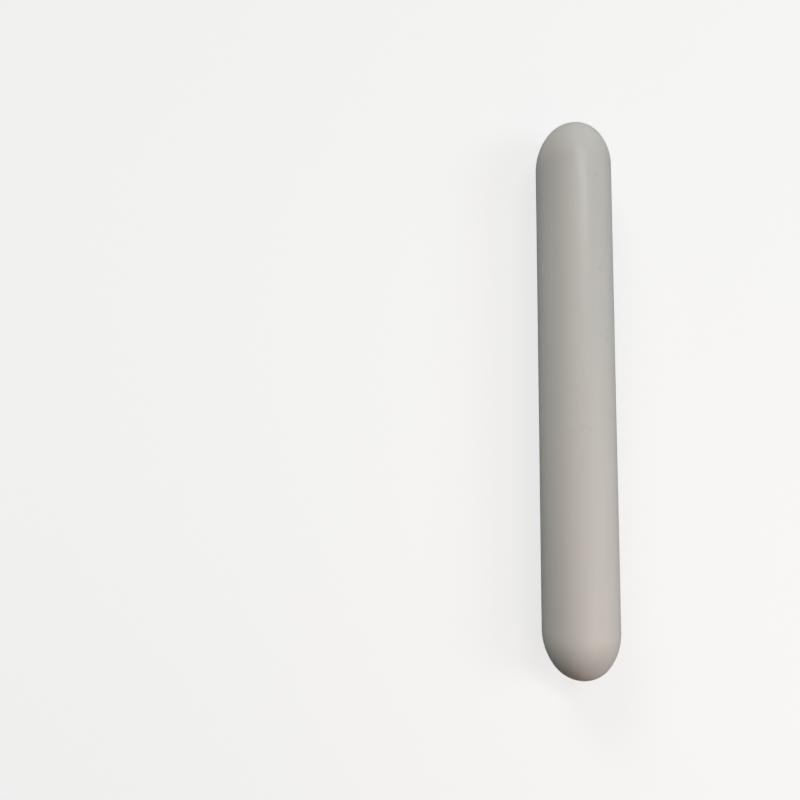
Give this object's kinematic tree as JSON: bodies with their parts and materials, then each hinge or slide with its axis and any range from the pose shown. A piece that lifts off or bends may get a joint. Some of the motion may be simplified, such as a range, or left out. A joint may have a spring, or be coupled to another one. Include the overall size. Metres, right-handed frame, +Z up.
{
  "type": "magnetic stir bar",
  "caption": "Smooth white capsule-shaped bar with a rod magnet sealed in a seamless fluoropolymer jacket, spun on a vessel's floor by a magnetic stirrer to mix liquids.",
  "frame": {"origin": "centre of the bar, on its axis and halfway between the two tips, which is the point that it spins about", "axes": "+Y along the bar from one tip to the other, +Z up from the surface that the bar lies on, +X across the bar; the two ends are alike"},
  "size_m": [0.0082, 0.06, 0.008],
  "materials": {
    "jacket": "smooth moulded white fluoropolymer with a soft satin sheen",
    "magnet": "ground cast magnet alloy"
  },
  "bodies": {
    "root": {"ptfe_jacket": "jacket", "magnet_core": "magnet"}
  },
  "joints": []
}
